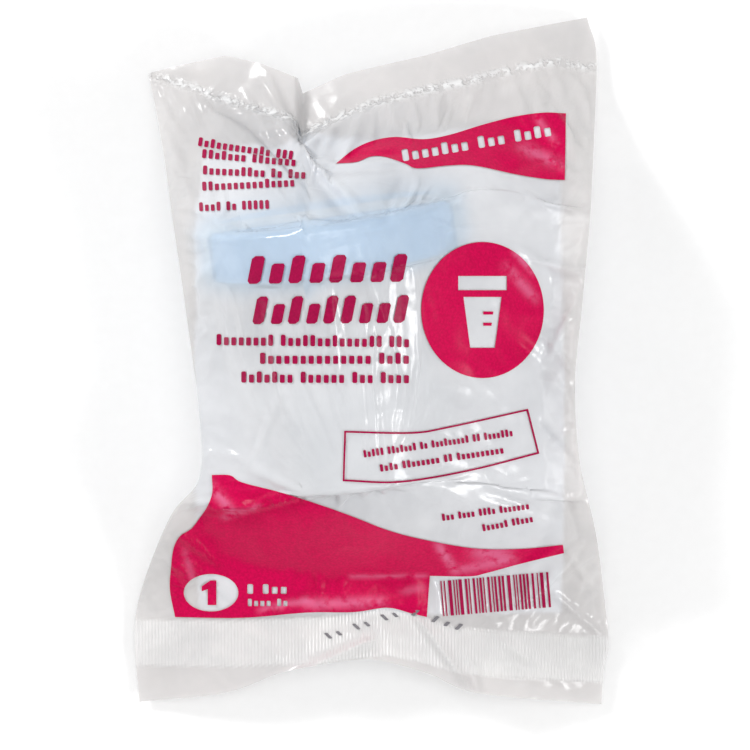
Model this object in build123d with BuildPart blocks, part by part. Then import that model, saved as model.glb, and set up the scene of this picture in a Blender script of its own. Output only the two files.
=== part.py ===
from build123d import *
from math import asin, atan, atan2, cos, exp, hypot, pi, sin, sqrt, tan
import os

os.makedirs("parts", exist_ok=True)

# A 4 oz screw-lid specimen cup, sealed in a printed film pouch that lies on its back.
# Origin: middle of the footprint, on the surface it rests on. +Z is out of the printed
# front, +Y runs to the top seal, +X to the right of someone who reads the front.

# Cup, measured along its own axis from the foot
cup_height = 68.0
foot_radius = 25.0
foot_rim = 1.0           # the base is recessed by this
foot_rim_width = 2.0
foot_round = 0.8
neck_height = 56.0       # where the taper ends and the threaded neck starts
shoulder_radius = 29.2
cup_wall = 1.1
base_wall = 1.3
stop_ring_width = 1.4    # bead below the lid
stop_ring_reach = 1.0

# Lid
skirt_gap = 2.2          # neck of the cup to the skirt of the lid, where the thread runs
lid_height = 12.5
lid_top_wall = 1.4
lid_wall = 1.5
lid_edge_round = 1.0
rib_count = 48
rib_depth = 0.6
lid_radius = shoulder_radius + skirt_gap + lid_wall + rib_depth    # over the grip ribs
plug_depth = 3.0         # ring that plugs the mouth of the cup
plug_wall = 1.1
plug_gap = 0.25          # between the plug ring and the bore of the cup
lid_seat_gap = 0.3       # between the rim of the cup and the underside of the lid

# Paper strip across the lid, stuck down both sides of the cup
seal_width = 20.0
seal_thickness = 0.15
seal_gap = 0.12
seal_drop = 16.0         # length on the wall of the cup

# Lie of the cup in the pouch
turn_in_plan = 8.0       # the lid end leans to the left
foot_x = -1.6
foot_y = -28.86

# Pouch
film = 0.35              # one layer
film_gap = 0.4           # between film and container
side_room = 30.3         # lid to the widest corners
top_room = 58.7          # lid end to the highest corner
bottom_room = 59.2       # foot end to the lowest corner
fold_height = 31.0       # side folds, beside the container
corner_height = 4.0      # corners of the pouch
top_seal_height = 23.0   # middle of the top seal
bottom_seal_height = 17.0
flap_lift = 3.6          # the left half of the top overlaps the right half
rest_flat = 0.8          # depth to which the back film is pressed flat by the surface

# Print
ink = 0.15
ink_gap = 0.12

# The container lies on two edges, the skirt of its lid and its foot
lid_bottom = cup_height + lid_seat_gap + lid_top_wall - lid_height
container_length = lid_bottom + lid_height
pitch_up = atan((lid_radius - foot_radius) / lid_bottom)
plan_turn = turn_in_plan * pi / 180
foot_z = film + film_gap + foot_radius * cos(pitch_up)
foot_centre = Vector(foot_x, foot_y, foot_z)
axis_way = Vector(-sin(plan_turn) * cos(pitch_up), cos(plan_turn) * cos(pitch_up), sin(pitch_up))
side_way = Vector(cos(plan_turn), sin(plan_turn), 0)
cup_axis = Axis(foot_centre, axis_way)
lengthwise = Plane(foot_centre, x_dir=side_way, z_dir=side_way.cross(axis_way))
crosswise = Plane(foot_centre, x_dir=side_way, z_dir=axis_way)

# ---- Cup ----
bore_radius = shoulder_radius - cup_wall
foot_corner = lengthwise.from_local_coords((foot_radius, 0, 0))

with BuildPart() as cup:
    with BuildSketch(lengthwise):
        with BuildLine():
            Polyline(
                (0, foot_rim),
                (foot_radius - foot_rim_width, foot_rim),
                (foot_radius - foot_rim_width, 0),
                (foot_radius - foot_round, 0),
                (foot_radius, foot_round),
                (shoulder_radius, neck_height),
                (shoulder_radius, cup_height - cup_wall / 2),
                (shoulder_radius - cup_wall / 3, cup_height),
                (bore_radius + cup_wall / 3, cup_height),
                (bore_radius, cup_height - cup_wall / 2),
                (bore_radius, neck_height),
                (foot_radius - cup_wall, foot_rim + base_wall),
                (0, foot_rim + base_wall),
                (0, foot_rim),
            )
        make_face()
    revolve(axis=cup_axis)
    stop_middle = lid_bottom - stop_ring_width
    with BuildSketch(lengthwise):
        with BuildLine():
            Polyline(
                (shoulder_radius, stop_middle - stop_ring_width / 2),
                (shoulder_radius + stop_ring_reach, stop_middle),
                (shoulder_radius, stop_middle + stop_ring_width / 2),
                (shoulder_radius - cup_wall / 2, stop_middle),
                (shoulder_radius, stop_middle - stop_ring_width / 2),
            )
        make_face()
    revolve(axis=cup_axis)
cup.part.label = "cup"
export_step(cup.part, "parts/cup.step")

# ---- Lid ----
skirt_radius = lid_radius - rib_depth
skirt_bore = skirt_radius - lid_wall
underside = container_length - lid_top_wall
plug_radius = bore_radius - plug_gap

with BuildPart() as lid:
    with BuildSketch(lengthwise):
        with BuildLine():
            Polyline(
                (0, underside),
                (plug_radius - plug_wall, underside),
                (plug_radius - plug_wall, underside - plug_depth),
                (plug_radius, underside - plug_depth + plug_wall / 2),
                (plug_radius, underside),
                (skirt_bore, underside),
                (skirt_bore, lid_bottom),
                (skirt_radius, lid_bottom),
                (skirt_radius, container_length - lid_edge_round),
                (skirt_radius - lid_edge_round, container_length),
                (0, container_length),
                (0, underside),
            )
        make_face()
    revolve(axis=cup_axis)
    # grip ribs all round the skirt
    with BuildSketch(crosswise.offset(lid_bottom)):
        with PolarLocations(skirt_radius - rib_depth / 2, rib_count):
            RegularPolygon(rib_depth * 1.5, 3)
    extrude(amount=lid_height - lid_edge_round * 1.6)
lid.part.label = "lid"
export_step(lid.part, "parts/lid.step")

# ---- Tamper seal ----
def along_wall(height):
    return foot_radius + (shoulder_radius - foot_radius) * (height - foot_round) / (neck_height - foot_round)


seal_foot = lid_bottom - seal_drop
inner = seal_gap
outer = seal_gap + seal_thickness
bridge = stop_middle - stop_ring_width / 2

with BuildPart() as tamper_seal:
    with BuildSketch(lengthwise):
        with BuildLine():
            Polyline(
                (0, container_length + inner),
                (lid_radius - lid_edge_round + inner, container_length + inner),
                (lid_radius + inner, container_length - lid_edge_round + inner),
                (lid_radius + inner, lid_bottom),
                (shoulder_radius + stop_ring_reach + inner, stop_middle),
                (along_wall(bridge - seal_drop / 4) + inner, bridge - seal_drop / 4),
                (along_wall(seal_foot) + inner, seal_foot),
                (along_wall(seal_foot) + outer, seal_foot),
                (along_wall(bridge - seal_drop / 4) + outer, bridge - seal_drop / 4),
                (shoulder_radius + stop_ring_reach + outer, stop_middle),
                (lid_radius + outer, lid_bottom),
                (lid_radius + outer, container_length - lid_edge_round + inner),
                (lid_radius - lid_edge_round + inner, container_length + outer),
                (0, container_length + outer),
                (0, container_length + inner),
            )
        make_face()
    revolve(axis=cup_axis)
    with BuildSketch(crosswise):
        Rectangle(2 * lid_radius + 4, seal_width)
    extrude(amount=container_length + 2, mode=Mode.INTERSECT)
tamper_seal.part.label = "tamper_seal"
export_step(tamper_seal.part, "parts/tamper_seal.step")

# ---- Pouch ----
# The film is drawn on two scales. u runs across, -1 to 1 for the widest corners.
# v runs along: -1 to 1 beside the container, and on to -2 and 2 at the two ends.
half_wide = lid_radius + side_room
foot_end = foot_y - foot_radius * sin(pitch_up) * cos(plan_turn)
lid_end = (foot_centre + axis_way * container_length).Y - lid_radius * sin(pitch_up) * cos(plan_turn)

left_edge = [(-0.98, -1.99), (-1.0, -1.67), (-0.96, -1.45), (-0.83, -1.13), (-0.71, -0.93),
             (-0.71, -0.45), (-0.77, 0.44), (-0.83, 1.12), (-0.88, 1.44), (-0.94, 1.74)]
top_left = [(-0.94, 1.74), (-0.76, 1.78), (-0.61, 1.81), (-0.46, 1.77), (-0.3, 1.7)]
top_right = [(-0.3, 1.63), (-0.11, 1.72), (0.24, 1.81), (0.5, 1.9), (0.91, 2.0)]
right_edge = [(0.91, 2.0), (0.95, 1.78), (0.91, 1.17), (0.87, 0.44), (0.84, -0.18),
              (0.86, -0.81), (0.94, -1.26), (1.0, -1.7), (0.98, -1.83), (0.97, -2.0)]
bottom_edge = [(0.97, -2.0), (0.45, -1.94), (0.24, -1.85), (0.04, -1.79), (-0.36, -1.84),
               (-0.61, -1.94), (-0.98, -1.99)]
top_seal = 1.52
bottom_seal = -1.6


def place(point):
    u, v = point
    if v > 1:
        y = lid_end + (v - 1) * top_room
    elif v < -1:
        y = foot_end + (v + 1) * bottom_room
    else:
        y = (lid_end + foot_end) / 2 + v * (lid_end - foot_end) / 2
    return (u * half_wide, y)


def between(points, at, key, value):
    """Straight-line reading of an outline."""
    row = sorted(points, key=lambda p: p[key])
    if at <= row[0][key]:
        return row[0][value]
    for low, high in zip(row, row[1:]):
        if at <= high[key]:
            share = (at - low[key]) / max(high[key] - low[key], 1e-6)
            return low[value] + share * (high[value] - low[value])
    return row[-1][value]


# half of what the tilted lid takes up between the two films
lid_reach = lid_radius * cos(pitch_up) + lid_height * sin(pitch_up) / 2
left_mm = [place(p) for p in left_edge]
right_mm = [place(p) for p in right_edge]


def smooth(t):
    t = min(max(t, 0), 1)
    return t * t * (3 - 2 * t)


# Creases of the film: ends, half width, height (below 0 is a valley)
creases = [
    ((-16.7, 58.0), (-9.0, 47.0), 4.5, -3.0),
    ((10.0, 56.0), (6.0, 48.0), 4.5, -2.6),
    ((-36.0, 66.0), (-26.0, 55.0), 4.5, 1.8),
    ((-34.0, -28.0), (-25.0, -6.0), 5.0, 1.2),
    ((0.0, -73.0), (-25.0, -86.0), 4.5, 1.6),
    ((16.0, -68.0), (28.0, -90.0), 4.5, 1.8),
    ((30.0, -36.0), (52.0, -44.0), 4.5, -1.6),
    ((38.0, 6.0), (50.0, -6.0), 5.0, -1.8),
    ((38.0, 52.0), (52.0, 60.0), 4.5, -1.6),
]


def crease_height(x, y):
    total = 0
    for (x0, y0), (x1, y1), half, height in creases:
        length = hypot(x1 - x0, y1 - y0)
        along = ((x - x0) * (x1 - x0) + (y - y0) * (y1 - y0)) / length
        across = ((x - x0) * (y1 - y0) - (y - y0) * (x1 - x0)) / length
        ends = smooth((along + half * 2) / (half * 4)) * smooth((length - along + half * 2) / (half * 4))
        total += height * ends * exp(-((across / half) ** 2))
    return total


def tight_section(y, share):
    """Heights of the two films stretched round the container, at one place along it."""
    run = (y - foot_end) / (lid_end - foot_end)
    run = min(max(run, 0), 1)
    y = foot_end + run * (lid_end - foot_end)
    left = between(left_mm, y, 1, 0)
    right = between(right_mm, y, 1, 0)
    x = (left + right) / 2 + share * (right - left) / 2
    axis_run = run * container_length
    radius = foot_radius + (lid_reach - foot_radius) * min(axis_run / lid_bottom, 1) + film_gap + film
    middle_x = foot_x - (y - foot_y) * tan(plan_turn)
    middle_z = radius
    edge = left if x < middle_x else right
    inward = abs(x - edge)
    reach = abs(middle_x - edge)
    rise = middle_z - fold_height
    far = hypot(reach, rise)
    aim = atan2(rise, reach)
    spread = asin(min(radius / far, 0.98))
    tangent = sqrt(max(far**2 - radius**2, 1))
    over = fold_height + inward * tan(aim + spread)
    if inward > tangent * cos(aim + spread):
        over = middle_z + sqrt(max(radius**2 - (x - middle_x) ** 2, 0))
    under = fold_height + inward * tan(aim - spread)
    if inward > tangent * cos(aim - spread):
        under = middle_z - sqrt(max(radius**2 - (x - middle_x) ** 2, 0))
    return over, under


def heights(x, y):
    """Outer faces of the front film and the back film."""
    left = between(left_mm, y, 1, 0)
    right = between(right_mm, y, 1, 0)
    share = (x - (left + right) / 2) / ((right - left) / 2)
    over, under = tight_section(y, share)
    arch = cos(min(abs(share), 1) * pi / 2)
    if y > lid_end:
        seal = corner_height + (top_seal_height - corner_height) * arch
        run = (y - lid_end) / (place((0, top_seal))[1] - lid_end)
    elif y < foot_end:
        seal = corner_height + (bottom_seal_height - corner_height) * arch
        run = (foot_end - y) / (foot_end - place((0, bottom_seal))[1])
    else:
        return over + film + crease_height(x, y), under - film - rest_flat
    flap_edge = top_right[0][0] * half_wide
    step = flap_lift * smooth((flap_edge + 1.5 - x) / 3) * smooth((run - 0.35) / 0.4) if y > lid_end else 0
    droop = 1 - 0.35 * max(run - 1, 0)
    past = min(run, 1)
    fold = fold_height + (seal - fold_height) * smooth(past)
    front = (fold + (over - fold_height) * (1 - past**1.6)) * droop + film
    back = (fold + (under - fold_height) * (1 - past**2.6)) * droop - film - rest_flat * (1 - past)
    return front + step + crease_height(x, y), back + step * smooth((run - 0.7) / 0.3)


def section_line(v, inward, above=0):
    """Closed outline across one place along the pouch: its outside, its hollow, or a layer on its front."""
    y = place((0, v))[1]
    left = between(left_mm, y, 1, 0) + inward * 5
    right = between(right_mm, y, 1, 0) - inward * 5
    front, back = [], []
    for i in range(section_points):
        x = left + (right - left) * i / (section_points - 1)
        over, under = heights(x, y)
        middle = (over + under) / 2
        over = max(over, under + 2 * film)
        if inward and not above:
            half = (over - under) / 2
            lean = [p - q for p, q in zip(heights(x + 0.5, y), heights(x - 0.5, y))]
            walls = [inward * min(hypot(1, slope), 3) for slope in lean]
            over = middle + half**2 / (half + walls[0])
            under = middle - half**2 / (half + walls[1])
        if above:
            under, over = over + above, over + above + ink
        front.append((x, over))
        back.append((x, under))
    Spline(*front)
    Line(front[-1], back[-1])
    Spline(*reversed(back))
    Line(back[0], front[0])


section_points = 15
stations = [-2.04, -1.8, -1.6, -1.48, -1.34, -1.2, -1.1, -1.0, -0.7, -0.35, 0, 0.35, 0.7, 1.0, 1.08, 1.16, 1.26,
            1.36, 1.45, 1.52, 1.64, 1.8, 2.04]
hollow_stations = [v for v in stations if bottom_seal < v < top_seal]

with BuildPart() as pouch_hollow:
    for v in hollow_stations:
        with BuildSketch(Plane.XZ.offset(-place((0, v))[1])):
            with BuildLine():
                section_line(v, film)
            make_face()
    loft(ruled=True)
    split(bisect_by=Plane.XY.offset(film))

with BuildPart() as pouch:
    for v in stations:
        with BuildSketch(Plane.XZ.offset(-place((0, v))[1])):
            with BuildLine():
                section_line(v, 0)
            make_face()
    loft(ruled=True)
    split(bisect_by=Plane.XY)
    # the two ends are trimmed to their edges, the top one with the notch of the overlap
    far = 2 * half_wide
    with BuildSketch():
        with BuildLine():
            Line((-far, place(top_left[0])[1]), place(top_left[0]))
            Spline(*[place(p) for p in top_left])
            Line(place(top_left[-1]), place(top_right[0]))
            Spline(*[place(p) for p in top_right])
            Polyline(place(top_right[-1]), (far, place(top_right[-1])[1]), (far, 2 * far), (-far, 2 * far),
                     (-far, place(top_left[0])[1]))
        make_face()
    with BuildSketch():
        with BuildLine():
            Line((far, place(bottom_edge[0])[1]), place(bottom_edge[0]))
            Spline(*[place(p) for p in bottom_edge])
            Polyline(place(bottom_edge[-1]), (-far, place(bottom_edge[-1])[1]), (-far, -2 * far), (far, -2 * far),
                     (far, place(bottom_edge[0])[1]))
        make_face()
    extrude(amount=4 * lid_radius, both=True, mode=Mode.SUBTRACT)
    add(pouch_hollow.part, mode=Mode.SUBTRACT)
pouch.part.label = "pouch"
export_step(pouch.part, "parts/pouch.step")

# ---- Print: fields of ink on the front film ----
print_top = [(-0.15, 1.334), (-0.03, 1.424), (0.1, 1.455), (0.33, 1.465), (0.6, 1.547), (0.82, 1.562)]
print_top_under = [(0.81, 1.259), (0.6, 1.286), (0.38, 1.325), (0.19, 1.312), (0.03, 1.366), (-0.15, 1.334)]
print_low = [(-0.67, -0.9), (-0.54, -0.96), (-0.22, -1.08), (0.2, -1.233), (0.49, -1.279), (0.8, -1.26)]
print_low_under = [(0.81, -1.297), (0.62, -1.346), (0.245, -1.4)]
print_low_foot = [(0.23, -1.586), (0.06, -1.544), (-0.27, -1.566), (-0.82, -1.586)]
print_low_side = [(-0.82, -1.586), (-0.84, -1.36), (-0.755, -1.188), (-0.67, -0.9)]
badge_place = (0.466, 0.415)
badge_across = 32.8
badge_along = 36.4
dot_place = (-0.672, -1.476)
dot_across = 14.6
dot_along = 10.2

with BuildPart() as ink_layer:
    for v in stations[1:-1]:
        with BuildSketch(Plane.XZ.offset(-place((0, v))[1])):
            with BuildLine():
                section_line(v, 0, ink_gap)
            make_face()
    loft(ruled=True)

with BuildSketch() as upper_field:
    with BuildLine():
        Spline(*[place(p) for p in print_top])
        Line(place(print_top[-1]), place(print_top_under[0]))
        Spline(*[place(p) for p in print_top_under])
    make_face()

with BuildSketch() as lower_field:
    with BuildLine():
        Spline(*[place(p) for p in print_low])
        Line(place(print_low[-1]), place(print_low_under[0]))
        Spline(*[place(p) for p in print_low_under])
        Line(place(print_low_under[-1]), place(print_low_foot[0]))
        Spline(*[place(p) for p in print_low_foot])
        Spline(*[place(p) for p in print_low_side])
    make_face()
    with Locations(place(dot_place)):
        Ellipse(dot_across / 2, dot_along / 2, mode=Mode.SUBTRACT)

with BuildSketch() as badge_field:
    with Locations(place(badge_place)):
        Ellipse(badge_across / 2, badge_along / 2)

for name, field in (("print_upper", upper_field), ("print_lower", lower_field), ("print_badge", badge_field)):
    with BuildPart() as ink_field:
        add(field.sketch)
        extrude(amount=4 * lid_radius, both=True)
        add(ink_layer.part, mode=Mode.INTERSECT)
    ink_field.part.label = name
    export_step(ink_field.part, f"parts/{name}.step")
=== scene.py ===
import bpy, bmesh, math, random
import numpy as np
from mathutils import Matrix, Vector, noise
from mathutils.bvhtree import BVHTree


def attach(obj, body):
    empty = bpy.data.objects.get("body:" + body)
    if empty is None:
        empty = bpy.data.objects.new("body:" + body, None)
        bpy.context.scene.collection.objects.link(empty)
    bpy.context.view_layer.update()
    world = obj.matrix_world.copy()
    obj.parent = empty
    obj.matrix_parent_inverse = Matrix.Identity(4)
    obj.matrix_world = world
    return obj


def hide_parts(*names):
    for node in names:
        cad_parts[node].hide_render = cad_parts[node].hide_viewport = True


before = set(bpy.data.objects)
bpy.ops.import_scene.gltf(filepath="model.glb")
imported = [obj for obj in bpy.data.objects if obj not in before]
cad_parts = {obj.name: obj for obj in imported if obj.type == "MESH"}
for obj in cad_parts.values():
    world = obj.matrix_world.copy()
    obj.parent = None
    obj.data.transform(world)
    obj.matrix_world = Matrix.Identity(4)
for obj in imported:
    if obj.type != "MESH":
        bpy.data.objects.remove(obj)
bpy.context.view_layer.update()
scene = bpy.context.scene
mm = 0.001


def linear(code):
    out = []
    for i in (0, 2, 4):
        c = int(code[i:i + 2], 16) / 255
        out.append(c / 12.92 if c <= 0.04045 else ((c + 0.055) / 1.055) ** 2.4)
    return (*out, 1)


# camera, floor and light, in metres and watts; frameWidth is what the camera sees at the height sharpAt
stage = {
    "floorSize": 2.4, "cameraHeight": 1.25, "aim": (0.00094, -0.00307), "frameWidth": 0.20055,
    "sharpAt": 0.012, "sensor": 36, "worldStrength": 0.5,
    "lamps": (
        ("keyLamp", (-1.0, 0.7, 0.75), 0.25, 9),
        ("fillLamp", (0.9, -0.6, 0.8), 0.35, 6),
        ("topLamp", (0.05, 0.1, 1.6), 0.8, 6),
    ),
}


def makeCamera():
    cam = bpy.data.objects.new("camera", bpy.data.cameras.new("camera"))
    scene.collection.objects.link(cam)
    cam.location = (*stage["aim"], stage["cameraHeight"])
    cam.data.sensor_width = stage["sensor"]
    cam.data.lens = stage["sensor"] * (stage["cameraHeight"] - stage["sharpAt"]) / stage["frameWidth"]
    cam.data.clip_end = 10
    scene.camera = cam
    scene.view_settings.view_transform = "Standard"


def addLamp(name, place, size, power):
    lamp = bpy.data.lights.new(name, "AREA")
    lamp.shape, lamp.size, lamp.energy = "SQUARE", size, power
    obj = bpy.data.objects.new(name, lamp)
    obj.location = place
    obj.rotation_euler = (-Vector(place)).to_track_quat("-Z", "Y").to_euler()
    scene.collection.objects.link(obj)


makeCamera()


# noise patterns: Scale is repeats a metre, so 60 gives soft clouds about 17 mm wide and 900 a grain of 1 mm
patterns = {
    "filmCloud": {"Scale": 60, "Detail": 3, "Roughness": 0.55},
    "filmGrain": {"Scale": 900, "Detail": 1, "Roughness": 0.55},
    "sealLumps": {"Scale": 520, "Detail": 2, "Roughness": 0.55},
    "filmCrinkle": {"Scale": 260, "Detail": 3, "Roughness": 0.6},
    "inkSpeck": {"Scale": 1500, "Detail": 2, "Roughness": 0.55},
    "inkCloud": {"Scale": 90, "Detail": 4, "Roughness": 0.55},
    "inkStreak": {"Scale": 320, "Detail": 3, "Roughness": 0.55},
    "inkCrinkle": {"Scale": 260, "Detail": 5, "Roughness": 0.6},
    "plasticCloud": {"Scale": 40, "Detail": 4, "Roughness": 0.55},
    "plasticGrain": {"Scale": 1200, "Detail": 3, "Roughness": 0.55},
    "rubbedGrain": {"Scale": 300, "Detail": 4, "Roughness": 0.55},
}
crackScale, ridgeScale = 70, 350  # cracks 14 mm apart, and the heated jaws' upright ridges about 0.9 mm apart
black, white = linear("000000"), linear("ffffff")
multiply, add, subtract = [{"operation": how} for how in ("MULTIPLY", "ADD", "SUBTRACT")]
blend, tint = {"data_type": "RGBA"}, {"data_type": "RGBA", "blend_type": "MULTIPLY"}


def newMaterial(name):
    mat = bpy.data.materials.new(name)
    mat.use_nodes = True
    mat.node_tree.nodes.clear()
    return mat, mat.node_tree


def node(tree, kind, settings=None, **inputs):
    # an input is a value, a socket or a node, which gives its first output; i0 names an input by its number
    made = tree.nodes.new(kind)
    for key, value in (settings or {}).items():
        if key == "stops":
            for element, (place, colour) in zip(made.color_ramp.elements, value):
                element.position, element.color = place, colour
        else:
            setattr(made, key, value)
    for key, value in inputs.items():
        byNumber = key[0] == "i" and key[1:].isdigit()
        socket = made.inputs[int(key[1:]) if byNumber else key.replace("_", " ")]
        if isinstance(value, bpy.types.Node):
            value = value.outputs[0]
        if isinstance(value, bpy.types.NodeSocket):
            tree.links.new(value, socket)
        else:
            socket.default_value = value
    return made


def filmMaterial():
    # blown polyethylene film: milky and softly glossy, whiter in the printed panel, clearer at the margins,
    # with small crinkles, a lumpy top seal and a ridged bottom seal; the lid's blue light below it is painted
    # into its colour as a painted reflection
    mat, tree = newMaterial("milkyPolyethyleneFilm")
    obj = node(tree, "ShaderNodeTexCoord").outputs["Object"]
    panel, crimp, bead, paintedLidBlue = [node(tree, "ShaderNodeAttribute", {"attribute_name": name}).outputs["Fac"]
                                    for name in ("panel", "crimp", "bead", "paintedLidBlue")]
    cloud, grain, lumpNoise, crinkleNoise = [
        node(tree, "ShaderNodeTexNoise", Vector=obj, **patterns[name])
        for name in ("filmCloud", "filmGrain", "sealLumps", "filmCrinkle")]
    lump = node(tree, "ShaderNodeValToRGB", {"stops": ((0.42, black), (0.58, white))}, Fac=lumpNoise)
    lumps = node(tree, "ShaderNodeMath", multiply, i0=lump, i1=bead)
    # painted reflection: the blue light of the lid below, painted into the film's colour
    lidBlueShare = node(tree, "ShaderNodeMath", multiply, i0=paintedLidBlue, i1=0.7)
    crimpShade = node(tree, "ShaderNodeMath", multiply, i0=crimp, i1=0.75)
    clouds = {"stops": ((0.3, linear("d8dade")), (0.7, white))}
    cloudTone = node(tree, "ShaderNodeValToRGB", clouds, Fac=cloud)
    base = node(tree, "ShaderNodeMix", blend, i0=panel, i6=linear("e7e4e3"), i7=linear("f1f2f5"))
    base = node(tree, "ShaderNodeMix", blend, i0=lidBlueShare, i6=base.outputs[2], i7=linear("c4def4"))
    base = node(tree, "ShaderNodeMix", blend, i0=lumps, i6=base.outputs[2], i7=white)
    base = node(tree, "ShaderNodeMix", blend, i0=crimpShade, i6=base.outputs[2], i7=linear("fdfcfb"))
    base = node(tree, "ShaderNodeMix", tint, i0=0.3, i6=base.outputs[2], i7=cloudTone)
    cells = node(tree, "ShaderNodeTexVoronoi", {"feature": "DISTANCE_TO_EDGE"}, Vector=obj, Scale=crackScale)
    cracks = node(tree, "ShaderNodeValToRGB", {"stops": ((0.0, black), (0.06, white))}, Fac=cells)
    bands = {"wave_type": "BANDS", "bands_direction": "X"}
    wave = node(tree, "ShaderNodeTexWave", bands, Vector=obj, Scale=ridgeScale, Distortion=0.6)
    ridge = node(tree, "ShaderNodeMath", multiply, i0=wave.outputs["Fac"], i1=crimp)
    bump = node(tree, "ShaderNodeBump", Strength=0.1, Distance=0.0006, Height=crinkleNoise)
    bump = node(tree, "ShaderNodeBump", Strength=0.06, Distance=0.0005, Height=cracks, Normal=bump)
    bump = node(tree, "ShaderNodeBump", Strength=0.55, Distance=0.0004, Height=ridge, Normal=bump)
    bump = node(tree, "ShaderNodeBump", Strength=0.7, Distance=0.0008, Height=lumps, Normal=bump)
    rough = node(tree, "ShaderNodeMath", multiply, i0=grain, i1=0.12)
    rough = node(tree, "ShaderNodeMath", add, i0=rough, i1=0.13)
    # opacity: 0.62 of bare film, then what the white panel, the seals and the clouds add
    centred = node(tree, "ShaderNodeMath", subtract, i0=cloud, i1=0.5)
    shares = [node(tree, "ShaderNodeMath", multiply, i0=source, i1=share)
              for source, share in ((panel, 0.1), (lumps, 0.3), (crimp, 0.12), (centred, 0.12))]
    alpha = node(tree, "ShaderNodeMath", add, i0=shares[0], i1=0.62)
    for share in shares[1:]:
        alpha = node(tree, "ShaderNodeMath", add, i0=alpha, i1=share)
    shader = node(tree, "ShaderNodeBsdfPrincipled", Roughness=rough, Alpha=alpha, Normal=bump, IOR=1.5,
                  Base_Color=base.outputs[2])
    node(tree, "ShaderNodeOutputMaterial", Surface=shader)
    return mat


def inkMaterial(name, code, dark):
    # flexographic ink on film: flat and saturated, finely speckled, lighter where a fold catches the light
    mat, tree = newMaterial(name)
    obj = node(tree, "ShaderNodeTexCoord").outputs["Object"]
    sheen = node(tree, "ShaderNodeAttribute", {"attribute_name": "sheen"}).outputs["Fac"]
    speck, cloud, streakNoise, crinkleNoise = [
        node(tree, "ShaderNodeTexNoise", Vector=obj, **patterns[key])
        for key in ("inkSpeck", "inkCloud", "inkStreak", "inkCrinkle")]
    cover = node(tree, "ShaderNodeValToRGB", {"stops": ((0.35, black), (0.75, white))}, Fac=speck)
    broken = node(tree, "ShaderNodeValToRGB", {"stops": ((0.3, black), (0.52, white))}, Fac=streakNoise)
    streak = node(tree, "ShaderNodeMath", multiply, i0=sheen, i1=broken)
    base = node(tree, "ShaderNodeMix", blend, i0=cover, i6=linear(dark), i7=linear(code))
    base = node(tree, "ShaderNodeMix", blend, i0=streak, i6=base.outputs[2], i7=linear("dd6a92"))
    bump = node(tree, "ShaderNodeBump", Strength=0.15, Distance=0.0005, Height=crinkleNoise)
    rough = node(tree, "ShaderNodeMath", multiply, i0=cloud, i1=0.2)
    rough = node(tree, "ShaderNodeMath", add, i0=rough, i1=0.22)
    shader = node(tree, "ShaderNodeBsdfPrincipled", Roughness=rough, Normal=bump, Specular_IOR_Level=0.12,
                  Base_Color=base.outputs[2])
    node(tree, "ShaderNodeOutputMaterial", Surface=shader)
    return mat


def plasticMaterial(name, code, roughness, alpha=1.0):
    # moulded plastic or paper: even and satin, with a fine grain and a soft cloud in its colour
    mat, tree = newMaterial(name)
    obj = node(tree, "ShaderNodeTexCoord").outputs["Object"]
    cloud, grain, rubbed = [node(tree, "ShaderNodeTexNoise", Vector=obj, **patterns[key])
                            for key in ("plasticCloud", "plasticGrain", "rubbedGrain")]
    tone = node(tree, "ShaderNodeValToRGB", {"stops": ((0.3, linear("dcdfe2")), (0.7, white))}, Fac=cloud)
    base = node(tree, "ShaderNodeMix", tint, i0=0.4, i6=linear(code), i7=tone)
    bump = node(tree, "ShaderNodeBump", Strength=0.1, Distance=0.0003, Height=grain)
    rough = node(tree, "ShaderNodeMath", multiply, i0=rubbed, i1=0.15)
    rough = node(tree, "ShaderNodeMath", add, i0=rough, i1=roughness)
    shader = node(tree, "ShaderNodeBsdfPrincipled", Roughness=rough, Normal=bump, Alpha=alpha,
                  Base_Color=base.outputs[2])
    node(tree, "ShaderNodeOutputMaterial", Surface=shader)
    return mat


film = filmMaterial()
magenta = inkMaterial("magentaInk", "da0052", "c20048")
crimson = inkMaterial("crimsonInk", "b00c4c", "9c0a42")
print("materials made")

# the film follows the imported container; outlines run from -1 to 1 across and from -2 to 2 along, where -1 is
# the foot's end of the container and 1 the lid's
# the cup's and lid's sizes are those of the source; fold is the height of the side folds, corner that of the
# four corners, topSeal and bottomSeal the seals' height in the middle, flapLift the overlap's step
pouch = {
    "halfWide": 63.8, "topRoom": 58.7, "bottomRoom": 59.2, "footRadius": 25.0, "shoulderRadius": 29.2,
    "lidRadius": 33.5, "neckHeight": 56.0, "lidBottom": 57.2, "length": 69.7, "footX": -1.6, "footY": -28.86,
    "turn": math.radians(8), "gap": 0.75, "fold": 31.0, "corner": 3.0, "topSeal": 23.0, "bottomSeal": 17.0,
    "flapLift": 3.2, "skirt": 12.5, "droop": 0.35, "apart": 0.15, "frontCurve": 1.5, "backCurve": 2.6,
    "flapEdge": -18.6, "flapBlend": 1.2, "flapStart": 50, "flapRun": 14, "lowest": 0.12,
}
pouch["pitch"] = math.atan((pouch["lidRadius"] - pouch["footRadius"]) / pouch["lidBottom"])
pouch["rise"] = math.sin(pouch["pitch"]) * math.cos(pouch["turn"])
pouch["footEnd"] = pouch["footY"] - pouch["footRadius"] * pouch["rise"]
pouch["lidEnd"] = (pouch["footY"] + pouch["length"] * math.cos(pouch["pitch"]) * math.cos(pouch["turn"])
                   - pouch["lidRadius"] * pouch["rise"])
print("container ends mm", pouch["footEnd"], pouch["lidEnd"])
pouch["lidReach"] = (pouch["lidRadius"] * math.cos(pouch["pitch"])
                     + pouch["skirt"] * math.sin(pouch["pitch"]) / 2)
leftEdge = [(-0.98, -1.99), (-1.0, -1.67), (-0.96, -1.45), (-0.83, -1.13), (-0.71, -0.93),
            (-0.71, -0.45), (-0.77, 0.44), (-0.83, 1.12), (-0.88, 1.44), (-0.94, 1.74)]
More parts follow.
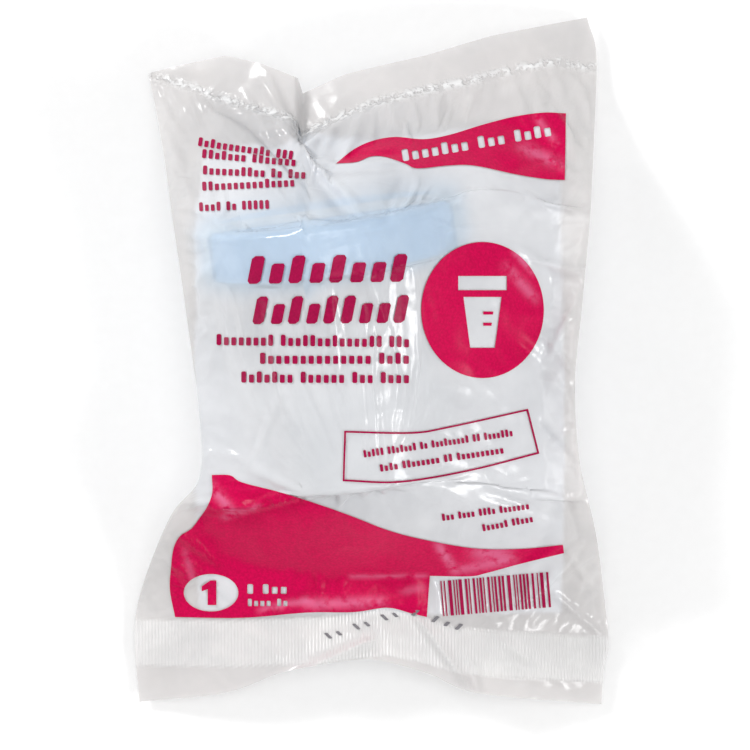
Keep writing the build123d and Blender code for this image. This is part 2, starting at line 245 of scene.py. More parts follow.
rightEdge = [(0.91, 2.0), (0.95, 1.78), (0.91, 1.17), (0.87, 0.44), (0.84, -0.18),
             (0.86, -0.81), (0.94, -1.26), (1.0, -1.7), (0.98, -1.83), (0.97, -2.0)]
topEdge = [(-0.94, 1.74), (-0.76, 1.78), (-0.61, 1.81), (-0.46, 1.77), (-0.3, 1.70), (-0.297, 1.63),
           (-0.11, 1.72), (0.24, 1.81), (0.5, 1.9), (0.91, 2.0)]
bottomEdge = [(-0.98, -1.99), (-0.61, -1.94), (-0.36, -1.84), (-0.1, -1.79), (0.04, -1.79), (0.24, -1.85),
              (0.45, -1.94), (0.97, -2.0)]
topSealLine = [(-0.93, 1.73), (-0.78, 1.68), (-0.63, 1.62), (-0.49, 1.57), (-0.33, 1.52), (-0.29, 1.45),
               (-0.15, 1.52), (0.01, 1.59), (0.19, 1.64), (0.4, 1.69), (0.6, 1.75), (0.77, 1.79), (0.93, 1.77)]
bottomSealLine = [(-0.99, -1.61), (-0.63, -1.61), (-0.22, -1.59), (-0.08, -1.57), (0.06, -1.55), (0.23, -1.59),
                  (0.34, -1.63), (0.48, -1.65), (0.99, -1.69)]


def placeY(v):
    p = pouch
    v = np.asarray(v, float)
    middle, half = (p["lidEnd"] + p["footEnd"]) / 2, (p["lidEnd"] - p["footEnd"]) / 2
    return np.where(v > 1, p["lidEnd"] + (v - 1) * p["topRoom"],
                    np.where(v < -1, p["footEnd"] + (v + 1) * p["bottomRoom"], middle + v * half))


def curveThrough(points, steps):
    pts = [np.array(p, float) for p in points]
    pts = [2 * pts[0] - pts[1]] + pts + [2 * pts[-1] - pts[-2]]
    out = []
    for a, b, c, d in zip(pts, pts[1:], pts[2:], pts[3:]):
        for i in range(steps):
            t = i / steps
            square, cube = 2 * a - 5 * b + 4 * c - d, 3 * b - a - 3 * c + d
            out.append(0.5 * (2 * b + (c - a) * t + square * t * t + cube * t**3))
    out.append(pts[-2])
    return np.array(out)


def toMm(points):
    pts = np.array(points, float)
    return np.column_stack([pts[:, 0] * pouch["halfWide"], placeY(pts[:, 1])])


def edgeTable(points, key):
    pts = curveThrough(toMm(points), 8)
    return pts[np.argsort(pts[:, key], kind="stable")]


leftTable, rightTable = edgeTable(leftEdge, 1), edgeTable(rightEdge, 1)
topTable, bottomTable = toMm(topEdge), edgeTable(bottomEdge, 0)
topLine, bottomLine = toMm(topSealLine), toMm(bottomSealLine)


def leftAt(y):
    return np.interp(y, leftTable[:, 1], leftTable[:, 0])


def rightAt(y):
    return np.interp(y, rightTable[:, 1], rightTable[:, 0])


def smooth(t):
    t = np.clip(t, 0, 1)
    return t * t * (3 - 2 * t)


def tightSection(y, share):
    # heights of a film pulled tight from the side folds over and under the round container
    p = pouch
    run = np.clip((y - p["footEnd"]) / (p["lidEnd"] - p["footEnd"]), 0, 1)
    y = p["footEnd"] + run * (p["lidEnd"] - p["footEnd"])
    left, right = leftAt(y), rightAt(y)
    x = (left + right) / 2 + share * (right - left) / 2
    widening = np.minimum(run * p["length"] / p["lidBottom"], 1)
    radius = p["footRadius"] + (p["lidReach"] - p["footRadius"]) * widening + p["gap"]
    middleX = p["footX"] - (y - p["footY"]) * math.tan(p["turn"])
    edge = np.where(x < middleX, left, right)
    inward, reach, rise = np.abs(x - edge), np.abs(middleX - edge), radius - p["fold"]
    far = np.hypot(reach, rise)
    aim, half = np.arctan2(rise, reach), np.arcsin(np.minimum(radius / far, 0.98))
    tangent = np.sqrt(np.maximum(far**2 - radius**2, 1))
    bow = np.sqrt(np.maximum(radius**2 - (x - middleX) ** 2, 0))
    heights = []
    for angle, wrapped in ((aim + half, radius + bow), (aim - half, radius - bow)):
        straight = p["fold"] + inward * np.tan(angle)
        heights.append(np.where(inward > tangent * np.cos(angle), wrapped, straight))
    return heights


# creases: ends in mm, half width, height (below 0 is a valley)
creases = [
    ((-17.5, 53.0), (-6.0, 38.5), 1.8, -1.6), ((8.4, 48.5), (4.0, 37.5), 1.6, -1.6),
    ((-17.5, 53.8), (7.0, 54.6), 1.3, -1.4), ((-28.0, 78.0), (-23.0, 60.0), 1.6, 1.2),
    ((-34.0, 72.0), (-24.0, 55.0), 1.4, 1.0), ((-32.0, -27.0), (-23.0, -6.0), 1.6, 0.9),
    ((0.0, -73.5), (-25.0, -85.0), 1.5, 1.0), ((16.0, -70.0), (28.0, -89.0), 1.5, 1.2),
    ((30.0, -36.0), (52.0, -44.0), 1.8, -1.0), ((38.0, 6.0), (54.0, -8.0), 2.0, -1.2),
    ((40.0, 30.0), (56.0, 22.0), 1.6, 1.0), ((36.0, 52.0), (57.0, 62.0), 1.8, -1.0),
    ((44.0, 44.0), (57.0, 40.0), 1.4, 0.9), ((46.0, -18.0), (54.0, -30.0), 1.4, -0.9),
    ((-44.0, 24.0), (-38.0, 46.0), 1.6, -0.8), ((-40.0, -36.0), (-48.0, -52.0), 1.8, 1.0),
]


def foldHeight(folds, x, y):
    total = np.zeros_like(x)
    for (x0, y0), (x1, y1), half, height in folds:
        length = math.hypot(x1 - x0, y1 - y0)
        along = ((x - x0) * (x1 - x0) + (y - y0) * (y1 - y0)) / length
        across = ((x - x0) * (y1 - y0) - (y - y0) * (x1 - x0)) / length
        ends = smooth((along + half * 2) / (half * 4)) * smooth((length - along + half * 2) / (half * 4))
        total += height * ends * np.exp(-((across / half) ** 2))
    return total


def filmHeights(x, y):
    p = pouch
    left, right = leftAt(y), rightAt(y)
    share = np.clip((x - (left + right) / 2) / ((right - left) / 2), -1, 1)
    over, under = tightSection(y, share)
    arch = np.cos(np.abs(share) * math.pi / 2)
    high, low = y > p["lidEnd"], y < p["footEnd"]
    sealTop = p["corner"] + (p["topSeal"] - p["corner"]) * arch
    sealLow = p["corner"] + (p["bottomSeal"] - p["corner"]) * arch
    runTop = (y - p["lidEnd"]) / (np.interp(x, topLine[:, 0], topLine[:, 1]) - p["lidEnd"])
    runLow = (p["footEnd"] - y) / (p["footEnd"] - np.interp(x, bottomLine[:, 0], bottomLine[:, 1]))
    run = np.where(high, runTop, np.where(low, runLow, 0))
    seal = np.where(high, sealTop, sealLow)
    past = np.clip(run, 0, 1)
    droop = 1 - p["droop"] * np.maximum(run - 1, 0)
    fold = p["fold"] + (seal - p["fold"]) * smooth(past)
    front = (fold + (over - p["fold"]) * (1 - past ** p["frontCurve"])) * droop + p["apart"]
    back = (fold + (under - p["fold"]) * (1 - past ** p["backCurve"])) * droop - p["apart"]
    step = p["flapLift"] * smooth((p["flapEdge"] - x) / p["flapBlend"])
    step = step * smooth((y - p["flapStart"]) / p["flapRun"])
    back = np.maximum(back + step * smooth((run - 0.7) / 0.3), p["lowest"])
    return front + step + foldHeight(creases, x, y), back


filmGrid = {"across": 168, "along": 236}


def filmPoints(side):
    nx, ny = filmGrid["across"], filmGrid["along"]
    share = np.linspace(-1, 1, nx + 1)[None, :] * np.ones((ny + 1, 1))
    along = np.linspace(0, 1, ny + 1)[:, None] * np.ones((1, nx + 1))
    x = share * pouch["halfWide"]
    for _ in range(6):  # the edges depend on both directions, so a few rounds settle them
        top = np.interp(x, topTable[:, 0], topTable[:, 1])
        bottom = np.interp(x, bottomTable[:, 0], bottomTable[:, 1])
        y = bottom + (top - bottom) * along
        left, right = leftAt(y), rightAt(y)
        x = (left + right) / 2 + share * (right - left) / 2
    z = filmHeights(x, y)[side]
    return x, y, z


def gridMesh(name, x, y, z, flip=False):
    rows, cols = x.shape
    bm = bmesh.new()
    bmesh.ops.create_grid(bm, x_segments=cols - 1, y_segments=rows - 1, size=0.5)
    bm.verts.ensure_lookup_table()
    spots = [(round(vert.co.y, 5), round(vert.co.x, 5)) for vert in bm.verts]
    order = sorted(range(len(spots)), key=lambda i: spots[i])
    fx, fy, fz = x.ravel(), y.ravel(), z.ravel()
    for k, i in enumerate(order):
        bm.verts[i].co = (fx[k] * mm, fy[k] * mm, fz[k] * mm)
    if flip:
        bmesh.ops.reverse_faces(bm, faces=bm.faces)
    mesh = bpy.data.meshes.new(name)
    bm.to_mesh(mesh)
    bm.free()
    for poly in mesh.polygons:
        poly.use_smooth = True
    obj = bpy.data.objects.new(name, mesh)
    scene.collection.objects.link(obj)
    return obj


def coords(obj):
    out = np.empty(len(obj.data.vertices) * 3)
    obj.data.vertices.foreach_get("co", out)
    return out.reshape(-1, 3)


front = gridMesh("filmFront", *filmPoints(0))
back = gridMesh("filmBack", *filmPoints(1), flip=True)
print("film laid out")


# where the film looks different, in mm: the top seal's bead, the bottom seal's width and the printed panel
marks = {"bead": 1.1, "blend": 0.8, "crimp": 13, "left": -47, "right": 51.5, "low": -67.5, "high": 62.5}


def markFilm(obj):
    pts = coords(obj) / mm
    x, y = pts[:, 0], pts[:, 1]
    topY = np.interp(x, topLine[:, 0], topLine[:, 1])
    lowY = np.interp(x, bottomLine[:, 0], bottomLine[:, 1])
    bead = np.exp(-((y - topY) / marks["bead"]) ** 2)
    crimp = smooth((lowY - y) / marks["blend"]) * smooth((y - (lowY - marks["crimp"])) / marks["blend"])
    panel = smooth(x - marks["left"]) * smooth(marks["right"] - x)
    panel = panel * smooth(y - marks["low"]) * smooth(marks["high"] + 0.1 * x - y)
    for name, values in (("bead", bead), ("crimp", crimp), ("panel", panel)):
        layer = obj.data.attributes.new(name, "FLOAT", "POINT")
        layer.data.foreach_set("value", values.astype(np.float32))


for piece in (front, back):
    markFilm(piece)
    piece.data.materials.append(film)


# the front film is settled over the container as cloth
# it is simulated 10 times its size, which the solver needs; cap is the furthest move in mm, and hold is the
# band at the seals and side folds that eases from fixed to free
settle = {
    "scale": 10, "frames": 26, "slack": 0.02, "gravity": 0.5, "cap": 5.0, "hold": 2.5, "levels": 10,
    "thickness": 0.004, "grip": 5, "quality": 6, "mass": 0.08, "stretch": 40, "shear": 20, "bend": 0.25,
    "damping": 8, "air": 2, "floor": 0.3,
}


def containerShape(scale):
    p = pouch
    pitch = p["pitch"]
    flat = math.cos(pitch)
    axis = Vector((-math.sin(p["turn"]) * flat, math.cos(p["turn"]) * flat, math.sin(pitch)))
    foot = Vector((p["footX"], p["footY"], p["gap"] + p["footRadius"] * math.cos(pitch)))
    side = Vector((math.cos(p["turn"]), math.sin(p["turn"]), 0))
    bm = bmesh.new()
    outline = [(0, 0), (p["footRadius"], 0), (p["shoulderRadius"], p["neckHeight"]),
               (p["shoulderRadius"], p["lidBottom"]), (p["lidRadius"], p["lidBottom"]),
               (p["lidRadius"], p["length"] - 1), (p["lidRadius"] - 1, p["length"]), (0, p["length"])]
    verts = [bm.verts.new((foot + side * r + axis * h) * scale * mm) for r, h in outline]
    edges = [bm.edges.new(pair) for pair in zip(verts, verts[1:])]
    bmesh.ops.spin(bm, geom=verts + edges, cent=foot * scale * mm, axis=axis, angle=2 * math.pi, steps=64)
    bmesh.ops.remove_doubles(bm, verts=bm.verts, dist=1e-4)
    bmesh.ops.recalc_face_normals(bm, faces=bm.faces)
    mesh = bpy.data.meshes.new("containerShape")
    bm.to_mesh(mesh)
    bm.free()
    return mesh


def settleFilm(obj):
    scale = settle["scale"]
    pts = coords(obj)
    x, y = pts[:, 0] / mm, pts[:, 1] / mm
    topY = np.interp(x, topLine[:, 0], topLine[:, 1])
    lowY = np.interp(x, bottomLine[:, 0], bottomLine[:, 1])
    edge = np.minimum(np.minimum(x - leftAt(y), rightAt(y) - x), np.minimum(topY - y, y - lowY))
    hold = 1 - smooth(edge / settle["hold"])
    sim = obj.copy()
    sim.data = obj.data.copy()
    scene.collection.objects.link(sim)
    sim.data.vertices.foreach_set("co", (pts * scale).ravel())
    group = sim.vertex_groups.new(name="hold")
    levels = settle["levels"]
    for level in range(1, levels + 1):
        members = np.nonzero(np.round(hold * levels) == level)[0].tolist()
        if members:
            group.add(members, level / levels, "REPLACE")
    wall = bpy.data.objects.new("containerShape", containerShape(scale))
    scene.collection.objects.link(wall)
    wall.modifiers.new("collision", "COLLISION")
    wall.collision.thickness_outer = settle["thickness"]
    wall.collision.cloth_friction = settle["grip"]
    cloth = sim.modifiers.new("cloth", "CLOTH")
    c = cloth.settings
    c.quality, c.mass = settle["quality"], settle["mass"]
    c.tension_stiffness = c.compression_stiffness = settle["stretch"]
    c.shear_stiffness, c.bending_stiffness = settle["shear"], settle["bend"]
    c.tension_damping = c.compression_damping = settle["damping"]
    c.air_damping = settle["air"]
    c.vertex_group_mass = "hold"
    c.shrink_min = -settle["slack"]
    c.effector_weights.gravity = settle["gravity"]
    cloth.collision_settings.distance_min = settle["thickness"]
    cloth.collision_settings.collision_quality = 3
    cloth.collision_settings.use_self_collision = False
    cloth.point_cache.frame_end = settle["frames"]
    for step in range(1, settle["frames"] + 1):
        scene.frame_set(step)
    deps = bpy.context.evaluated_depsgraph_get()
    moved = sim.evaluated_get(deps).to_mesh()
    after = np.empty(len(moved.vertices) * 3)
    moved.vertices.foreach_get("co", after)
    shift = after.reshape(-1, 3) / scale - pts
    size = np.linalg.norm(shift, axis=1, keepdims=True)
    cap = settle["cap"] * mm
    shift *= np.minimum(size, cap) / np.maximum(size, 1e-9)
    print("film settled, mean move mm", float(size.mean() / mm), "max", float(size.max() / mm))
    new = pts + shift
    new[:, 2] = np.maximum(new[:, 2], settle["floor"] * mm)
    obj.data.vertices.foreach_set("co", new.ravel())
    obj.data.update()
    scene.frame_set(1)
    for made in (sim, wall):
        bpy.data.objects.remove(made)


def packedTree(*names):
    # one search tree of CAD nodes, which stay as they are
    bm = bmesh.new()
    for name in names:
        bm.from_mesh(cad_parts[name].data)
    found = BVHTree.FromBMesh(bm)
    bm.free()
    return found


def spread(rows, reach=3):
    # the highest value near each point, then a soft blur, so that a push leaves no teeth
    for work in (np.maximum, np.add, np.add):
        padded = np.pad(rows, reach, mode="edge")
        shifts = [padded[i:i + rows.shape[0], j:j + rows.shape[1]]
                  for i in range(2 * reach + 1) for j in range(2 * reach + 1)]
        rows = work.reduce(shifts) if work is np.maximum else sum(shifts) / len(shifts)
    return rows


def clearContainer(obj, gap=0.4):
    # film that spans free air gets fine crinkles, and nothing of the container may stand through it
    below, lidTree = packedTree("cup", "lid", "tamper_seal"), packedTree("lid")
    pts = coords(obj)
    down = Vector((0, 0, -1))
    paintedLidBlue, under = np.zeros(len(pts)), np.zeros(len(pts))
    for i, (x, y, z) in enumerate(pts):
        hit = below.ray_cast(Vector((x, y, crinkle["above"])), down)[0]
        under[i] = 0 if hit is None else hit.z
        free = 1.0 if hit is None else min(max((z - hit.z) / mm / crinkle["freeRoom"], 0), 1)
        where = Vector((x, y, 0)) / mm
        fold = 0
        for wide, high in crinkle["sizes"]:
            fold += high * (1 - 2 * abs(noise.noise(where / wide + Vector((wide, 0, 0)))))
        pts[i, 2] += fold * (crinkle["taut"] + (1 - crinkle["taut"]) * free) * mm
        # painted reflection: how much of the lid's blue light is painted into the film, fading with the film's
        # height over the lid
        hit = lidTree.ray_cast(Vector((x, y, crinkle["above"])), down)[0]
        if hit is not None:
            paintedLidBlue[i] = math.exp(-(z - hit.z) / mm / crinkle["lidBlueFade"])
    pts[:, 2] += foldHeight(sharpFolds, pts[:, 0] / mm, pts[:, 1] / mm) * mm
    shape = (filmGrid["along"] + 1, filmGrid["across"] + 1)
    push = np.where(under > 0, np.maximum(under + gap * mm - pts[:, 2], 0), 0)
    pts[:, 2] += spread(push.reshape(shape)).ravel()
    pts[:, 2] = np.maximum(pts[:, 2], np.where(under > 0, under + gap * mm / 2, 0))
    pts[:, 2] = np.maximum(pts[:, 2], settle["floor"] * mm)
    obj.data.vertices.foreach_set("co", pts.ravel())
    obj.data.update()
    layer = obj.data.attributes.new("paintedLidBlue", "FLOAT", "POINT")
    layer.data.foreach_set("value", spread(paintedLidBlue.reshape(shape)).ravel().astype(np.float32))


# sharp folds pressed into the film as it was packed: ends in mm, half width, height (below 0 is a valley)
sharpFolds = [
    ((-17.6, 53.2), (-6.0, 37.5), 2.0, -2.4), ((-15.6, 53.0), (-2.6, 40.5), 1.0, 1.0),
    ((8.4, 48.5), (3.6, 36.5), 1.8, -1.6), ((-17.5, 53.8), (7.0, 54.4), 1.2, -1.3),
    ((-18.5, 57.0), (-9.5, 62.5), 0.9, 1.1), ((-9.5, 62.5), (-12.8, 55.5), 0.9, 0.9),
    ((-29.6, 75.5), (-22.2, 64.5), 1.0, 1.5), ((-26.6, 75.0), (-20.8, 63.0), 0.8, 1.0),
    ((-33.0, 60.8), (-21.8, 62.0), 0.9, 0.9), ((-29.5, 66.5), (-22.5, 62.4), 0.8, 0.8),
    ((-58.0, 74.0), (-49.0, 58.0), 0.9, 0.6), ((-50.0, 38.0), (-44.0, 30.0), 0.9, 0.7),
    ((0.0, -73.6), (-25.5, -85.2), 1.0, 1.3), ((12.0, -67.5), (28.4, -90.0), 0.8, 1.5),
    ((27.2, -79.0), (29.0, -89.6), 0.7, 0.9), ((49.0, -62.0), (61.5, -72.5), 0.8, 1.2),
    ((52.0, -50.0), (60.0, -62.0), 0.9, 0.9), ((46.0, 44.0), (55.0, 39.0), 0.9, 1.1),
    ((48.0, 36.0), (55.0, 47.0), 0.8, 0.8), ((42.0, 27.0), (56.0, 24.0), 0.9, 1.1),
    ((45.0, 8.0), (53.5, -3.0), 0.9, 1.2), ((47.0, 2.0), (52.5, 14.0), 0.8, 0.9),
    ((44.0, -16.0), (54.5, -27.0), 0.9, -1.1), ((47.5, -21.0), (54.5, -16.0), 0.8, 1.0),
    ((50.5, -33.0), (55.5, -47.0), 1.0, -0.9), ((-23.0, -6.5), (-31.5, -27.0), 1.1, 0.7),
    ((-46.5, -30.0), (-56.0, -47.0), 1.0, 0.8), ((34.0, -73.5), (52.0, -86.0), 1.4, 0.8),
]
# fine crinkles: width and height in mm of each size, and the share left where the film is taut
# the lid's fade is the height in mm over which the painted blue reflection of the lid fades out
crinkle = {"sizes": ((13, 0.45), (6, 0.22)), "taut": 0.3, "freeRoom": 6, "lidBlueFade": 25, "above": 0.2}
settleFilm(front)
clearContainer(front)


# ink as a thin sheet on the film, in mm: step of its mesh, lift off the film, room over a fold
ink = {"step": 0.7, "lift": 0.38, "gap": 0.25, "rounds": 8}
filmSearch = BVHTree.FromObject(front, bpy.context.evaluated_depsgraph_get())
eye = Vector((*stage["aim"], stage["cameraHeight"]))


def onFilm(x, y):
    # the point of the film that lies in line with x, y at the height sharpAt, lifted towards the eye
    target = Vector((x * mm, y * mm, stage["sharpAt"]))
    way = (target - eye).normalized()
    hit = filmSearch.ray_cast(eye, way)[0] or target
    return hit - way * ink["lift"] * mm


def liftClear(bm):
    # where a fold of the film stands before a face of the print, the print is raised over it
    for _ in range(ink["rounds"]):
        raised = set()
        for face in bm.faces:
            middle = face.calc_center_median()
            for point in (middle, *[(v.co + middle) / 2 for v in face.verts]):
                hit = filmSearch.ray_cast(eye, (point - eye).normalized())[0]
                if hit and (hit - eye).length < (point - eye).length + ink["gap"] * mm:
                    raised.update(face.verts)
                    break
        for vert in raised:
            vert.co += (eye - vert.co).normalized() * ink["gap"] * mm
        if not raised:
            break


# where the ink catches the light along a fold: ends in mm, half width, strength
inkFolds = [
    ((-43.5, -32.0), (-37.0, -40.0), 1.3, 0.9), ((-40.0, -41.5), (-30.0, -38.0), 0.8, 0.6),
    ((17.5, -48.0), (22.0, -55.0), 1.2, 0.9), ((22.0, -55.5), (38.0, -52.5), 1.3, 0.7),
    ((27.0, -50.5), (37.0, -51.0), 1.8, 0.8), ((-6.0, -57.0), (15.0, -56.8), 0.6, 0.6),
    ((-18.0, -64.5), (4.0, -63.6), 1.5, 0.8), ((-30.0, -66.0), (-16.0, -63.0), 1.0, 0.7),
    ((40.0, 58.0), (51.0, 53.0), 1.6, 0.8), ((44.0, 66.0), (50.0, 58.0), 1.0, 0.6),
    ((36.0, 26.0), (44.0, 17.0), 1.4, 0.7), ((38.0, 30.0), (43.5, 24.0), 0.8, 0.8),
    ((-50.0, -50.0), (-46.5, -62.0), 1.0, 0.5), ((8.0, -61.0), (14.0, -60.0), 1.2, 0.5),
]


def printPatch(name, loops, material, stands=None):
    # closed outlines in mm, filled by the even-odd rule, cut into small faces and laid on the film
    bm = bmesh.new()
    for loop in loops:
        verts = [bm.verts.new((p[0], p[1], 0)) for p in loop]
        for a, b in zip(verts, verts[1:] + verts[:1]):
            bm.edges.new((a, b))
    bmesh.ops.triangle_fill(bm, edges=bm.edges[:], use_beauty=True, use_dissolve=False)
    xs = [v.co.x for v in bm.verts]
    ys = [v.co.y for v in bm.verts]
    for low, high, way in ((min(xs), max(xs), (1, 0, 0)), (min(ys), max(ys), (0, 1, 0))):
        for i in range(1, int((high - low) / ink["step"]) + 1):
            at = low + i * ink["step"]
            bmesh.ops.bisect_plane(bm, geom=bm.verts[:] + bm.edges[:] + bm.faces[:], dist=1e-4,
                                   plane_co=(at, at, 0), plane_no=way)
    for face in bm.faces:
        if face.normal.z < 0:
            face.normal_flip()
    bm.verts.index_update()
    flat = np.array([vert.co[:2] for vert in bm.verts])
    for vert in bm.verts:
        vert.co = onFilm(vert.co.x, vert.co.y)
    liftClear(bm)
    mesh = bpy.data.meshes.new(name)
    bm.to_mesh(mesh)
    bm.free()
    layer = mesh.attributes.new("sheen", "FLOAT", "POINT")
    caught = np.clip(foldHeight(inkFolds, flat[:, 0], flat[:, 1]), 0, 1)
    layer.data.foreach_set("value", caught.astype(np.float32))
    for poly in mesh.polygons:
        poly.use_smooth = True
    obj = bpy.data.objects.new(name, mesh)
    mesh.materials.append(material)
    scene.collection.objects.link(obj)
    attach(obj, "root")
    if stands:
        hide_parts(stands)
    return obj


def ring(cx, cy, rx, ry, count=72):
    angles = [2 * math.pi * i / count for i in range(count)]
    return [(cx + rx * math.cos(angle), cy + ry * math.sin(angle)) for angle in angles]


def joined(*runs):
    out = []
    for run in runs:
        pts = curveThrough(run, 6) if len(run) > 2 else np.array(run, float)
        out += [tuple(p) for p in (pts if not out else pts[1:])]
    if math.hypot(out[0][0] - out[-1][0], out[0][1] - out[-1][1]) < 0.05:
        out.pop()
    return out


upperWave = joined(
    [(-9.5, 53.5), (-4.7, 57.3), (0.4, 59.6), (6.4, 60.6), (14.0, 60.0), (21.0, 61.2), (29.5, 63.8),
     (38.1, 66.0), (45.9, 67.1), (52.0, 66.9)],
    [(52.0, 66.9), (51.7, 49.1)],
    [(51.7, 49.1), (46.7, 49.3), (38.1, 50.7), (27.8, 52.9), (21.0, 53.0), (12.4, 52.2), (9.0, 53.5),
     (3.9, 55.2), (0.0, 55.4), (-4.0, 53.9), (-9.5, 53.5)],
)
lowerWave = joined(
    [(-42.7, -29.8), (-37.8, -29.9), (-34.6, -31.8), (-24.5, -34.4), (-13.8, -37.8), (-4.9, -41.0),
     (4.1, -44.5), (13.0, -46.9), (27.1, -49.4), (39.7, -49.6), (51.2, -48.5)],
    [(51.2, -48.5), (51.5, -50.7)],
    [(51.5, -50.7), (39.7, -53.6), (30.9, -56.0), (26.3, -56.9), (15.6, -56.8)],
    [(15.6, -56.8), (14.8, -67.8)],
    [(14.8, -67.8), (10.3, -66.7), (4.1, -65.3), (-4.9, -66.5), (-17.2, -66.6), (-34.4, -68.0),
     (-52.5, -67.8)],
    [(-52.5, -67.8), (-53.9, -60.6), (-53.6, -54.4), (-52.9, -49.4), (-51.2, -46.2), (-48.2, -44.2),
     (-46.0, -41.4), (-44.0, -38.4), (-42.6, -34.6), (-42.7, -29.8)],
)


def bar(a, b, tall, slant):
    # one bar with cut corners, from a to b
    way = (b - a).normalized()
    up = Vector((-way.y, way.x)) * tall / 2
    lean = way * tall * slant
    cut = min(tall * 0.1, (b - a).length * 0.25)
    low, tip, inset = up * 0.8, lean * 0.7, way * cut
    corners = [a - up - lean + inset, b - up - lean - inset, b - low - tip, b + low + tip,
               b + up + lean - inset, a + up + lean + inset, a + low + tip, a - low - tip]
    return [(p.x, p.y) for p in corners]


# a word is a row of bars: the first and a few others are tall, the rest are lower
letter = {"space": 0.7, "low": 0.72, "tallShare": 0.22, "start": 0.08}


def wordBars(x0, y0, x1, y1, tall, words, slant=0.0, fill=0.64):
    letters = sum(words) + (len(words) - 1) * letter["space"]
    pitch = math.hypot(x1 - x0, y1 - y0) / letters
    start, way = Vector((x0, y0)), Vector((x1 - x0, y1 - y0)).normalized()
    loops, at = [], 0.0
    for word in words:
        for i in range(word):
            size = tall * (1 if i == 0 or random.random() < letter["tallShare"] else letter["low"])
            drop = Vector((way.y, -way.x)) * (tall - size) / 2
            a = start + way * (at + i + letter["start"]) * pitch + drop
            loops.append(bar(a, a + way * pitch * fill, size, slant))
        at += word + letter["space"]
    return loops


# the badge carries a plain outline of a cup with its lid
cupMark = [
    [(23.2, 19.6), (36.2, 19.6), (36.2, 23.4), (23.2, 23.4)],
    [(24.6, 17.8), (34.8, 17.8), (33.0, 4.2), (26.4, 4.2)],
]
cupGauge = [
    [(29.9, 13.9), (32.6, 13.9), (32.5, 13.1), (29.9, 13.1)],
    [(29.9, 10.9), (32.2, 10.9), (32.1, 10.1), (29.9, 10.1)],
]
digitOne = [(-43.81, -64.59), (-41.49, -64.59), (-41.49, -58.01), (-43.08, -58.01), (-45.4, -59.59),
            (-45.4, -60.93), (-43.81, -60.32)]
frameOutside = joined(
    [(-7.3, -18.0), (10.8, -18.3), (21.0, -16.7), (41.9, -12.1)], [(41.9, -12.1), (44.9, -24.1)],
    [(44.9, -24.1), (26.3, -28.8), (7.6, -31.9), (-7.7, -31.5)], [(-7.7, -31.5), (-7.3, -18.0)])
frameInside = joined(
    [(-6.8, -18.5), (10.8, -18.8), (21.0, -17.2), (41.5, -12.7)], [(41.5, -12.7), (44.3, -23.7)],
    [(44.3, -23.7), (26.3, -28.3), (7.6, -31.4), (-7.2, -31.0)], [(-7.2, -31.0), (-6.8, -18.5)])
random.seed(7)  # rows of bars for words: both ends, height, letters in each word
headline = [wordBars(*row, 0.12) for row in (
    (-33.0, 25.0, 10.6, 25.6, 7.4, (8,)), (-31.6, 14.2, 10.8, 14.6, 7.4, (9,)))]
smallLines = [wordBars(*row) for row in (
    (-41.6, 6.4, 10.6, 5.8, 3.0, (8, 14, 3)), (-30.0, 1.4, 10.6, 1.4, 3.0, (14, 4)),
    (-35.0, -3.6, 10.6, -3.8, 3.0, (7, 6, 3, 4)),
    (-46.4, 59.4, -20.6, 55.6, 2.4, (12, 3)), (-45.4, 56.2, -19.8, 53.9, 2.4, (7, 7)),
    (-45.2, 51.8, -17.2, 50.6, 2.4, (10, 2, 3)), (-45.4, 47.4, -20.2, 48.6, 2.4, (15,)),
    (-46.2, 41.9, -27.0, 42.6, 2.4, (4, 2, 5)),
    (-2.2, -24.2, 38.0, -18.4, 2.0, (5, 7, 2, 9, 2, 7)), (2.2, -28.0, 35.6, -23.0, 2.0, (4, 8, 2, 10)),
    (18.8, -41.2, 42.4, -38.0, 1.9, (3, 4, 4, 7)), (29.6, -44.0, 43.4, -41.4, 1.9, (6, 5)))]
# outlines inside a field are left open: words, the digit's oval and the cup
upperWords = wordBars(8.0, 55.6, 48.6, 62.6, 3.2, (7, 3, 4))
printPatch("upperWave", [upperWave, *upperWords], magenta, stands="print_upper")
lowerWords = (wordBars(-33.4, -60.3, -22.0, -60.3, 2.6, (1, 3))
              + wordBars(-33.2, -63.9, -22.0, -63.9, 2.0, (4, 2)))
printPatch("lowerWave", [lowerWave, ring(-42.9, -61.3, 7.3, 5.0), *lowerWords], magenta, stands="print_lower")
printPatch("badge", [ring(29.7, 14.3, 16.4, 18.2), *cupMark], magenta, stands="print_badge")
printPatch("badgeMarks", cupGauge, magenta)
printPatch("digit", [digitOne], magenta)
printPatch("noticeFrame", [frameOutside, frameInside], crimson)
printPatch("headline", [loop for line in headline for loop in line], crimson)
printPatch("smallLines", [loop for line in smallLines for loop in line], crimson)
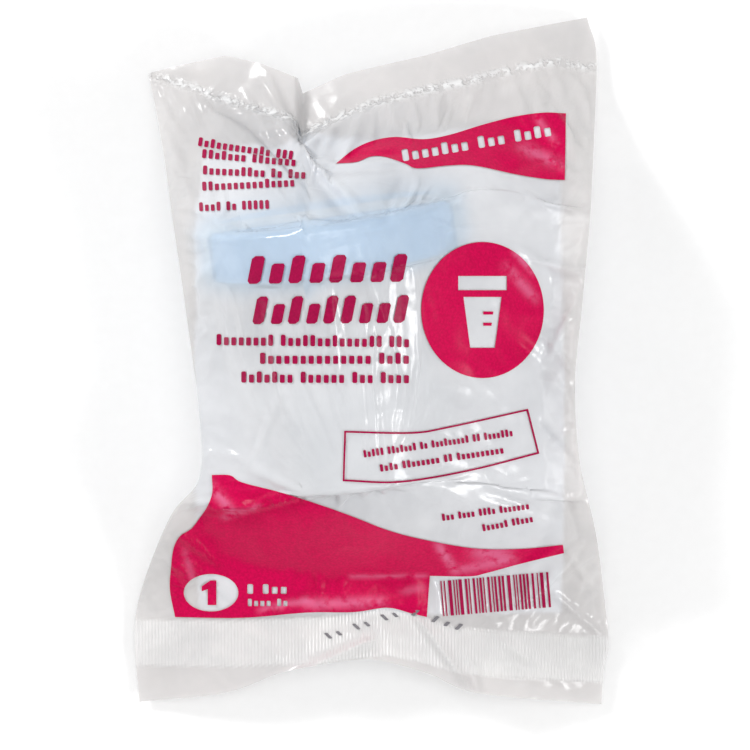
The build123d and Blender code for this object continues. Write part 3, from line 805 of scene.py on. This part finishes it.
# a row of bars of random widths; it leans with the film
code = {"long": 28.5, "x": 19.2, "low": -67.6, "high": -58.2, "lean": 0.085, "slant": 0.8}
random.seed(4)
codeBars, at = [], 0.0
while at < code["long"]:
    wide = random.choice((0.35, 0.35, 0.6, 0.9))
    x0, x1 = code["x"] + at, code["x"] + at + wide
    y0, y1 = code["low"] + code["lean"] * at, code["high"] + code["lean"] * at
    tilt = code["lean"] * wide
    codeBars.append([(x0, y0), (x1, y0 + tilt), (x1 - code["slant"], y1 + tilt), (x0 - code["slant"], y1)])
    at += wide + random.choice((0.35, 0.5, 0.8))
printPatch("codeBars", codeBars, crimson)
batchMarks = (wordBars(-12.2, -73.0, 8.4, -66.3, 1.9, (2, 2, 2), -0.3, 0.3)
              + wordBars(11.0, -66.4, 25.8, -71.2, 1.9, (1, 3), 0.3, 0.3))
printPatch("batchMarks", batchMarks, inkMaterial("greyBatchInk", "8c8a8e", "757378"))
print("print laid on the film")

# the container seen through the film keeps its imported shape
for name, material in (("cup", plasticMaterial("translucentPolypropylene", "dfe5e8", 0.3, 0.75)),
                       ("lid", plasticMaterial("lightBluePolyethylene", "7cc2f4", 0.4)),
                       ("tamper_seal", plasticMaterial("whiteSealPaper", "f0f0ee", 0.6))):
    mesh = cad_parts[name].data
    mesh.materials.clear()
    mesh.materials.append(material)

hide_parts("pouch")
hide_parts("pouch")
for piece in (front, back):
    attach(piece, "root")

bm = bmesh.new()
bmesh.ops.create_grid(bm, x_segments=2, y_segments=2, size=stage["floorSize"] / 2)
floorMesh = bpy.data.meshes.new("floor")
bm.to_mesh(floorMesh)
bm.free()
floor = bpy.data.objects.new("floor", floorMesh)
scene.collection.objects.link(floor)
floorMat, floorTree = newMaterial("paleFloor")
floorSpot = node(floorTree, "ShaderNodeTexCoord").outputs["Object"]
floorGrain = node(floorTree, "ShaderNodeTexNoise", Vector=floorSpot, **patterns["rubbedGrain"])
floorStops = {"stops": ((0.3, linear("fdfdfd")), (0.7, white))}
floorTone = node(floorTree, "ShaderNodeValToRGB", floorStops, Fac=floorGrain)
paper = node(floorTree, "ShaderNodeBsdfPrincipled", Roughness=0.7, Base_Color=floorTone)
node(floorTree, "ShaderNodeOutputMaterial", Surface=paper)
floorMesh.materials.append(floorMat)
for lamp in stage["lamps"]:
    addLamp(*lamp)
world = bpy.data.worlds.new("studio")
world.use_nodes = True
world.node_tree.nodes["Background"].inputs[0].default_value = (1, 1, 1, 1)
world.node_tree.nodes["Background"].inputs[1].default_value = stage["worldStrength"]
scene.world = world
